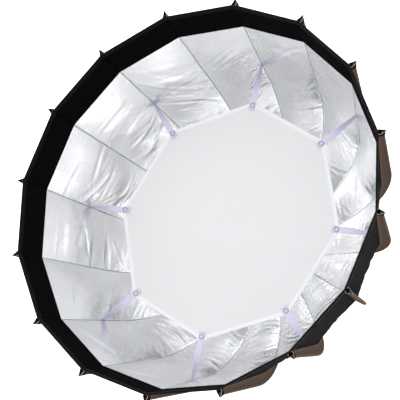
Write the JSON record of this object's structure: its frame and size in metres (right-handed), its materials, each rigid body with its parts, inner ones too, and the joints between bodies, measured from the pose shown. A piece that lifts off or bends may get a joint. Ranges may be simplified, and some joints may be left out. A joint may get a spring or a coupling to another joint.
{
  "type": "octabox",
  "caption": "Deep folding octabox softbox with a silver lining, an inner baffle on straps, hinged ribs, a lock collar and a rotating bayonet insert for a studio light",
  "frame": {"origin": "centre of the mount spigot's rear end, at the bottom of the bounding box", "axes": "+Z along the softbox's axis from the light to the opening; +Y towards rib 1"},
  "size_m": [0.9374, 0.9374, 0.497],
  "materials": {
    "ring_plastic": "moulded, fine satin texture",
    "anodised": "satin turned",
    "steel": "drawn spring steel",
    "nickel": "polished nickel",
    "black_nylon": "matt woven nylon",
    "silver_lining": "silver coated lining inside, black nylon outside",
    "brown_cloth": "brown woven sleeve with a hard black cap",
    "diffusion_cloth": "white translucent nylon",
    "lavender_tape": "woven nylon tape"
  },
  "bodies": {
    "speed_ring": {"ring_body": "ring_plastic", "ring_cover": "ring_plastic", "hinge_pins": "steel", "cover_screws": "steel", "rear_cuff": "black_nylon", "inner_baffle": "diffusion_cloth", "baffle_straps": "lavender_tape", "strap_snaps": "nickel"},
    "lock_collar": {"lock_ring": "ring_plastic"},
    "mount_insert": {"bayonet_insert": "anodised", "insert_retainer": "anodised"},
    "insert_lock": {"insert_lock_knob": "ring_plastic"},
    "rib_01": {"rib_rod_01": "steel", "rod_sleeve_01": "brown_cloth", "gore_01": "silver_lining"},
    "rib_02": {"rib_rod_02": "steel", "rod_sleeve_02": "brown_cloth", "gore_02": "silver_lining"},
    "rib_03": {"rib_rod_03": "steel", "rod_sleeve_03": "brown_cloth", "gore_03": "silver_lining"},
    "rib_04": {"rib_rod_04": "steel", "rod_sleeve_04": "brown_cloth", "gore_04": "silver_lining"},
    "rib_05": {"rib_rod_05": "steel", "rod_sleeve_05": "brown_cloth", "gore_05": "silver_lining"},
    "rib_06": {"rib_rod_06": "steel", "rod_sleeve_06": "brown_cloth", "gore_06": "silver_lining"},
    "rib_07": {"rib_rod_07": "steel", "rod_sleeve_07": "brown_cloth", "gore_07": "silver_lining"},
    "rib_08": {"rib_rod_08": "steel", "rod_sleeve_08": "brown_cloth", "gore_08": "silver_lining"},
    "rib_09": {"rib_rod_09": "steel", "rod_sleeve_09": "brown_cloth", "gore_09": "silver_lining"},
    "rib_10": {"rib_rod_10": "steel", "rod_sleeve_10": "brown_cloth", "gore_10": "silver_lining"},
    "rib_11": {"rib_rod_11": "steel", "rod_sleeve_11": "brown_cloth", "gore_11": "silver_lining"},
    "rib_12": {"rib_rod_12": "steel", "rod_sleeve_12": "brown_cloth", "gore_12": "silver_lining"},
    "rib_13": {"rib_rod_13": "steel", "rod_sleeve_13": "brown_cloth", "gore_13": "silver_lining"},
    "rib_14": {"rib_rod_14": "steel", "rod_sleeve_14": "brown_cloth", "gore_14": "silver_lining"},
    "rib_15": {"rib_rod_15": "steel", "rod_sleeve_15": "brown_cloth", "gore_15": "silver_lining"},
    "rib_16": {"rib_rod_16": "steel", "rod_sleeve_16": "brown_cloth", "gore_16": "silver_lining"}
  },
  "joints": [
    {"name": "lock_collar_turn", "type": "hinge", "parent": "speed_ring", "child": "lock_collar", "pos_m": [0, 0, 0.025], "axis": [0, 0, 1], "range_deg": [0, 12]},
    {"name": "mount_rotation", "type": "hinge", "parent": "speed_ring", "child": "mount_insert", "pos_m": [0, 0, 0.025], "axis": [0, 0, 1], "continuous": true},
    {"name": "insert_lock_turn", "type": "hinge", "parent": "speed_ring", "child": "insert_lock", "pos_m": [-0.02439, 0.1226, 0.0256], "axis": [-0.1951, 0.9808, 0], "continuous": true},
    {"name": "rib_01_fold", "type": "hinge", "parent": "speed_ring", "child": "rib_01", "pos_m": [0, 0.092, 0.0358], "axis": [1, 0, 0], "range_deg": [0, 38], "deforming": ["gore_01", "inner_baffle", "baffle_straps", "strap_snaps"]},
    {"name": "rib_02_fold", "type": "hinge", "parent": "speed_ring", "child": "rib_02", "pos_m": [-0.03521, 0.085, 0.0358], "axis": [0.9239, 0.3827, 0], "range_deg": [0, 38], "deforming": ["gore_02"]},
    {"name": "rib_03_fold", "type": "hinge", "parent": "speed_ring", "child": "rib_03", "pos_m": [-0.06505, 0.06505, 0.0358], "axis": [0.7071, 0.7071, 0], "range_deg": [0, 38], "deforming": ["gore_03"]},
    {"name": "rib_04_fold", "type": "hinge", "parent": "speed_ring", "child": "rib_04", "pos_m": [-0.085, 0.03521, 0.0358], "axis": [0.3827, 0.9239, 0], "range_deg": [0, 38], "deforming": ["gore_04"]},
    {"name": "rib_05_fold", "type": "hinge", "parent": "speed_ring", "child": "rib_05", "pos_m": [-0.092, 0, 0.0358], "axis": [0, 1, 0], "range_deg": [0, 38], "deforming": ["gore_05"]},
    {"name": "rib_06_fold", "type": "hinge", "parent": "speed_ring", "child": "rib_06", "pos_m": [-0.085, -0.03521, 0.0358], "axis": [-0.3827, 0.9239, 0], "range_deg": [0, 38], "deforming": ["gore_06"]},
    {"name": "rib_07_fold", "type": "hinge", "parent": "speed_ring", "child": "rib_07", "pos_m": [-0.06505, -0.06505, 0.0358], "axis": [-0.7071, 0.7071, 0], "range_deg": [0, 38], "deforming": ["gore_07"]},
    {"name": "rib_08_fold", "type": "hinge", "parent": "speed_ring", "child": "rib_08", "pos_m": [-0.03521, -0.085, 0.0358], "axis": [-0.9239, 0.3827, 0], "range_deg": [0, 38], "deforming": ["gore_08"]},
    {"name": "rib_09_fold", "type": "hinge", "parent": "speed_ring", "child": "rib_09", "pos_m": [0, -0.092, 0.0358], "axis": [-1, 0, 0], "range_deg": [0, 38], "deforming": ["gore_09"]},
    {"name": "rib_10_fold", "type": "hinge", "parent": "speed_ring", "child": "rib_10", "pos_m": [0.03521, -0.085, 0.0358], "axis": [-0.9239, -0.3827, 0], "range_deg": [0, 38], "deforming": ["gore_10"]},
    {"name": "rib_11_fold", "type": "hinge", "parent": "speed_ring", "child": "rib_11", "pos_m": [0.06505, -0.06505, 0.0358], "axis": [-0.7071, -0.7071, 0], "range_deg": [0, 38], "deforming": ["gore_11"]},
    {"name": "rib_12_fold", "type": "hinge", "parent": "speed_ring", "child": "rib_12", "pos_m": [0.085, -0.03521, 0.0358], "axis": [-0.3827, -0.9239, 0], "range_deg": [0, 38], "deforming": ["gore_12"]},
    {"name": "rib_13_fold", "type": "hinge", "parent": "speed_ring", "child": "rib_13", "pos_m": [0.092, 0, 0.0358], "axis": [0, -1, 0], "range_deg": [0, 38], "deforming": ["gore_13"]},
    {"name": "rib_14_fold", "type": "hinge", "parent": "speed_ring", "child": "rib_14", "pos_m": [0.085, 0.03521, 0.0358], "axis": [0.3827, -0.9239, 0], "range_deg": [0, 38], "deforming": ["gore_14"]},
    {"name": "rib_15_fold", "type": "hinge", "parent": "speed_ring", "child": "rib_15", "pos_m": [0.06505, 0.06505, 0.0358], "axis": [0.7071, -0.7071, 0], "range_deg": [0, 38], "deforming": ["gore_15"]},
    {"name": "rib_16_fold", "type": "hinge", "parent": "speed_ring", "child": "rib_16", "pos_m": [0.03521, 0.085, 0.0358], "axis": [0.9239, -0.3827, 0], "range_deg": [0, 38], "deforming": ["gore_16"]}
  ],
  "couplings": [
    {"joint": "rib_02_fold", "follows": "rib_01_fold", "ratio": 1},
    {"joint": "rib_03_fold", "follows": "rib_01_fold", "ratio": 1},
    {"joint": "rib_04_fold", "follows": "rib_01_fold", "ratio": 1},
    {"joint": "rib_05_fold", "follows": "rib_01_fold", "ratio": 1},
    {"joint": "rib_06_fold", "follows": "rib_01_fold", "ratio": 1},
    {"joint": "rib_07_fold", "follows": "rib_01_fold", "ratio": 1},
    {"joint": "rib_08_fold", "follows": "rib_01_fold", "ratio": 1},
    {"joint": "rib_09_fold", "follows": "rib_01_fold", "ratio": 1},
    {"joint": "rib_10_fold", "follows": "rib_01_fold", "ratio": 1},
    {"joint": "rib_11_fold", "follows": "rib_01_fold", "ratio": 1},
    {"joint": "rib_12_fold", "follows": "rib_01_fold", "ratio": 1},
    {"joint": "rib_13_fold", "follows": "rib_01_fold", "ratio": 1},
    {"joint": "rib_14_fold", "follows": "rib_01_fold", "ratio": 1},
    {"joint": "rib_15_fold", "follows": "rib_01_fold", "ratio": 1},
    {"joint": "rib_16_fold", "follows": "rib_01_fold", "ratio": 1}
  ]
}
